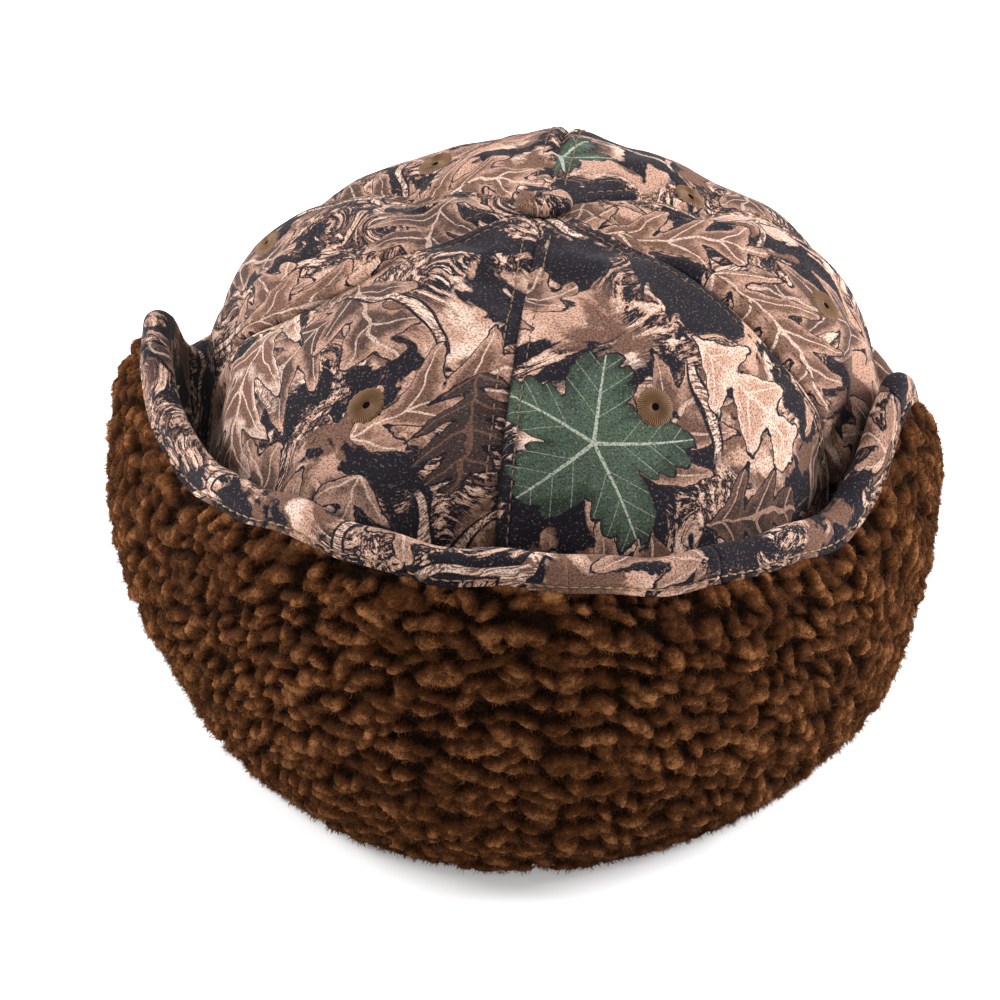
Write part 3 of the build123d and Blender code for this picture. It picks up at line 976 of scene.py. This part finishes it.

# %% [markdown]
# ## The pile
# The pile is long curled fibre knitted into a backing. The fibres cling together in curls a few
# millimetres across; their colour carries painted shade in the gaps between and a painted highlight at the
# tips. Each curl is a low dome on a jittered plane; where domes overlap the higher one shows. Smaller domes
# ride on the large ones, and thin bent hairs break up the outline.

# %% Curls
def curls(u, v, seed, cell, long, short, high, slope, spread):
    """Height of bean-shaped domes, one in each jittered square cell, with a tone for each. Each bean is
    long by short, turned by slope plus a random part of spread. u runs round the hat and meets itself
    after AROUND."""
    count = int(round(AROUND / cell))
    table = np.random.default_rng(seed).random((6, count, 200))
    fu, fv = u * count / AROUND, v / cell
    cu, cv = np.floor(fu).astype(int), np.floor(fv).astype(int)
    best, tone = np.zeros(u.shape), np.zeros(u.shape)
    for du in (-1, 0, 1):
        for dv in (-1, 0, 1):
            ju, jv, size, rise, shade, tilt = table[:, (cu + du) % count, (cv + dv) % 200]
            x = (fu - (cu + du + 0.14 + 0.72 * ju)) * cell
            y = (fv - (cv + dv + 0.14 + 0.72 * jv)) * cell
            turn = slope + (tilt - 0.5) * spread
            along, across = x * np.cos(turn) + y * np.sin(turn), y * np.cos(turn) - x * np.sin(turn)
            room = np.clip(1 - ((along / long) ** 2 + (across / short) ** 2) / (0.75 + 0.5 * size) ** 2, 0, 1)
            dome = high * (0.6 + 0.4 * rise) * room ** 0.5
            tone = np.where(dome > best, shade, tone)
            best = np.maximum(best, dome)
    return best, tone


def pile_line(angle, count=196):
    """Root line of the pile at each angle, from under the hem, down outside, round the fold and up
    inside: smooth curves (Catmull-Rom) through a few level-distance and height pairs."""
    h, lean = cuff_height(angle), cuff_lean(angle)
    pairs = []
    full = along_keys(angle, (-180, 0), (-125, 2.0), (-80, 4.2), (-35, 0.5), (30, -0.6), (70, 0.2),
                      (120, 0.5), (180, 0))
    for up, out in ((h - 6.6, 5.0), (h - 9.6, 8.2), (h - 17, 10.8 + 0.5 * full), (h * 0.62, 12.0 + full),
                    (h * 0.40, 11.6 + full)):
        level = up * np.sin(lean) + out * np.cos(lean) - tip_pull(angle, up)
        pairs.append((level, FOLD_HEIGHT + up * np.cos(lean) - out * np.sin(lean)))
    front = 2.6 * bell(turn_of(angle), 70.0)
    pairs += [(11.0 - front, 22.0 + 0 * h), (6.2 - front, 11.6 + 0 * h), (2.2 - 0.8 * front, 5.8 + 0 * h)]
    fixed = ((-2.4, 3.4), (-6.6, 6.2), (-9.2, 14.0), (-9.9, 27.0), (-9.6, 39.5), (-7.6, 42.5))
    pairs += [(n + 0 * h, z + 0 * h) for n, z in fixed]
    p = np.array(pairs)
    p = np.concatenate([2 * p[:1] - p[1:2], p, 2 * p[-1:] - p[-2:-1]])
    t = np.linspace(0, len(pairs) - 1 - 1e-6, 900)
    k = t.astype(int)
    f = (t - k)[:, None, None]
    a, b, c, d = p[k], p[k + 1], p[k + 2], p[k + 3]
    square, cube = 2 * a - 5 * b + 4 * c - d, 3 * b - a - 3 * c + d
    line = 0.5 * (2 * b + (c - a) * f + square * f ** 2 + cube * f ** 3)
    run = np.concatenate([np.zeros((1, len(h))), np.cumsum(np.linalg.norm(np.diff(line, axis=0), axis=1), 0)])
    even = np.linspace(0, 1, count)[:, None] * run[-1]
    n, z = (np.stack([np.interp(even[:, j], run[:, j], line[:, k, j]) for j in range(len(h))], 1)
            for k in (0, 1))
    return n, z, even


def pile_sheet(angle):
    """Pile surface at a row of angles, with the curls' tip height and tone."""
    n, z, run = pile_line(angle)
    x, y = oval(angle)
    nx, ny = outward(angle)
    roots = np.stack([x + nx * n, y + ny * n, z], -1)
    out = -normals_of(roots)
    u = np.broadcast_to(around(angle), n.shape)
    warp_u = u + 1.5 * ripple(u, run, 41, 9.5) + 0.7 * ripple(u, run, 42, 4.5)
    warp_v = run + 1.3 * ripple(u, run, 43, 9.5) + 0.6 * ripple(u, run, 44, 4.5)
    slope = np.radians(58) * np.sin(angle) * (n > 0)
    big, tone = curls(warp_u, warp_v, 51, 5.0, 3.9, 2.15, 3.6, slope, 1.5)
    small, tone_small = curls(warp_u, warp_v, 52, 2.1, 1.3, 0.85, 0.65, slope, 2.5)
    low = np.where(n < -4, 0.62, np.clip(smooth((n - 2) / 8) + 0.38, 0.45, 1.0))
    ends = smooth(run / 5.0) * smooth((run[-1] - run) / 4.0)
    high = (big + small) * low * ends + 0.5 * ripple(u, run, 45, 16) * ends
    points = roots + out * high[..., None]
    points[..., 2] -= 0.22 * high * (n > 3)
    points[..., 2] = np.maximum(points[..., 2], 0.15)
    # tip is each point's height in its curl; the pile material turns it into painted shade low down and a
    # painted highlight at the top
    tip = np.clip(big / 3.6 * 0.82 + small / 0.65 * 0.18, 0, 1)
    return points, tip, 0.6 * tone + 0.4 * tone_small, n


def hairs(points, tip, tone, seed, count, longest=2.4):
    """Thin bent blades growing from random places on a sheet of points."""
    rng = np.random.default_rng(seed)
    out = -normals_of(points)
    rows, cols = tip.shape
    r, c = rng.integers(2, rows - 3, count), rng.integers(0, cols - 1, count)
    f = rng.random((count, 1))
    root = points[r, c] * (1 - f) + points[r, c + 1] * f
    lean = unit(out[r, c] * 0.6 + rng.normal(0, 0.6, (count, 3)) + [0, 0, -0.35])
    bend = unit(lean * 0.5 + rng.normal(0, 0.75, (count, 3)) + [0, 0, -0.3])
    side = unit(np.cross(lean, rng.normal(0, 1, (count, 3))))
    long = rng.uniform(0.8, longest, (count, 1))
    wide = rng.uniform(0.06, 0.10, (count, 1))
    middle = root + lean * long * 0.55
    end = middle + bend * long * 0.45
    low, high = side * wide, side * wide * 0.8
    verts = np.stack([root - low, root + low, middle + high, middle - high, end], 1)
    verts[..., 2] = np.maximum(verts[..., 2], 0.15)
    base = np.arange(count)[:, None] * 5
    quads, tris = base + [0, 1, 2, 3], base + [3, 2, 4]
    # blades go from painted shade at the root to a painted highlight at the end
    tips = np.repeat(tip[r, c][:, None], 5, 1) * 0.7 + [0.08, 0.08, 0.24, 0.24, 0.42]
    tones = np.repeat(rng.random((count, 1)), 5, 1)
    return verts.reshape(-1, 3), quads, tris, tips.ravel(), tones.ravel()


# %% Make the sixteen stretches of pile
for index in range(SEGMENTS):
    angle = np.linspace(index - 0.5, index + 0.5, 59) * STEP
    points, tip, tone, n = pile_sheet(angle)
    blades, quads, tris, blade_tip, blade_tone = hairs(points, tip, tone, 700 + index, 14000)
    flat = points.reshape(-1, 3)
    faces = np.concatenate([sheet_faces(*tip.shape)[:, ::-1], quads + len(flat)])
    values = {"tip": np.append(tip, blade_tip), "tone": np.append(tone, blade_tone)}
    pile = make(f"pile_{index:02d}", np.concatenate([flat, blades]), faces, values=values, material=PILE,
                extra=tris + len(flat))
    ends = [np.array([*oval((index + s) * STEP), FOLD_HEIGHT]) for s in (-0.5, 0.5)]
    middle = (ends[0] + ends[1]) / 2
    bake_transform(pile)
    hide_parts(f"cuff_pile_{index:02d}", *(["headband_pile"] if index == 0 else []))
print("pile lowest, mm:", points[..., 2].min().round(2), "triangles each:", 2 * len(faces) + len(tris))

# %% [markdown]
# ## Small fittings
# The blank size label is a small strip sewn to the lining. The plate behind the button already has its
# real shape in the solid model, so it only needs its metal. The snap halves are turned discs. They are
# made again here because the puffed cloth stands further out than the stiff panel they were set on.

# %% Label, snaps and plate
low, high = (np.array(corner) * 1000 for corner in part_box("size_label"))
u, v = np.meshgrid(np.linspace(0, 1, 25), np.linspace(0, 1, 17))
bulge = 0.5 * np.sin(np.pi * u) * np.sin(np.pi * v) + 0.15 * np.sin(9 * u + 4 * v)
x = high[0] + (low[0] - high[0]) * u
y = (low[1] + high[1]) / 2 - bulge
z = low[2] + (high[2] - low[2]) * v
label = make("blank_label", np.stack([x, y, z], -1), sheet_faces(*u.shape), uv=np.stack([x, z], -1),
             material=LABEL)
thicken(label, 0.4)
hang(label, "crown", "label", "size_label")

STEEL = plain("plate steel", (0.45, 0.45, 0.44, 1), 0.4, metal=1.0, grain=900.0)
plate = bpy.data.objects["button_plate"]
plate.data.materials.clear()
plate.data.materials.append(STEEL)

SNAP_HEIGHT = 78.0
# distance from the middle, and height off the cloth, of each half's rings
RIM = ((6.0, 0.9), (6.2, 0.2), (6.2, -0.6))
STUD = ((0.3, 1.9), (1.5, 1.9), (1.9, 1.5), (2.0, 0.7), (4.6, 0.6), (5.4, 1.05)) + RIM
SOCKET = ((0.3, 0.3), (2.2, 0.3), (2.4, 1.0), (3.4, 1.15), (4.6, 0.8), (5.5, 1.1)) + RIM
for side, sign, body in (("left", 1, "cuff_04"), ("right", -1, "cuff_12")):
    middle = sign * np.pi / 2
    for half, rings in (("stud", STUD), ("socket", SOCKET)):
        a, k = np.meshgrid(np.arange(48) * np.pi / 24, np.arange(len(rings)))
        far, tall = np.array(rings)[k, 0], np.array(rings)[k, 1]
        across, up = far * np.sin(a), far * np.cos(a)
        if half == "stud":
            points = on_crown(middle, rise_at(middle, SNAP_HEIGHT), across, up, tall)
        else:
            points = wall(middle + across / HALF_LENGTH, SNAP_HEIGHT - FOLD_HEIGHT + up, 0.4 - tall)
        points, faces, fan = closed_rings(points, inward=half == "socket")
        disc = make(f"snap_disc_{half}_{side}", points, faces, material=BRASS, extra=fan)
        hang(disc, "crown" if half == "stud" else body, "snap", f"snap_{half}_{side}")
print("snap rings:", len(STUD), "and", len(SOCKET))

# %% [markdown]
# ## Floor, light and camera
# A pale floor under a bright even sky, with soft lamps at the sides and above, gives soft shadows.

# %% Set the scene
def lamp(name, place, aim, size, power, colour=(1, 1, 1)):
    light = bpy.data.lights.new(name, "AREA")
    light.shape, light.size, light.energy, light.color = "DISK", size, power, colour
    obj = bpy.data.objects.new(name, light)
    bpy.context.collection.objects.link(obj)
    obj.location = place
    direction = Vector(aim) - Vector(place)
    obj.rotation_euler = direction.to_track_quat("-Z", "Y").to_euler()


corners = np.array([[-4000, -4000, 0], [4000, -4000, 0], [4000, 4000, 0], [-4000, 4000, 0]])
scene = bpy.context.scene
pale = new_material("pale floor", Base_Color=(0.9, 0.9, 0.9, 1), Roughness=0.7, Emission_Color=(1, 1, 1, 1),
                    Emission_Strength=0.30)[0]
floor = make("floor", corners, np.array([[0, 1, 2, 3]]), material=pale)
world = bpy.data.worlds.new("studio")
world.use_nodes = True
sky = world.node_tree.nodes["Background"].inputs
sky["Color"].default_value, sky["Strength"].default_value = (1, 1, 1, 1), 0.60
scene.world = world
lamp("left", (-1.0, 0.0, 0.55), (0, 0, 0.06), 0.5, 15.0)
lamp("right", (1.0, 0.2, 0.55), (0, 0, 0.06), 0.5, 17.0)
lamp("above", (0.0, 0.15, 1.2), (0, 0, 0.05), 0.6, 7.5)
scene.view_settings.view_transform = "Standard"

aim = Vector((-0.0086, -0.0072, 0.060))
around_z, above = np.radians(5.74), np.radians(26.29)
back = Vector((np.sin(around_z) * np.cos(above), -np.cos(around_z) * np.cos(above), np.sin(above)))
camera = bpy.data.cameras.new("camera")
camera.lens, camera.sensor_width = 152.4, 36.0
camera.clip_end = 20.0
eye = bpy.data.objects.new("camera", camera)
bpy.context.collection.objects.link(eye)
eye.location = aim + back * 1.15
eye.rotation_euler = (back.to_track_quat("Z", "Y") @ Quaternion((0, 0, 1), np.radians(1.74))).to_euler()
scene.camera = eye
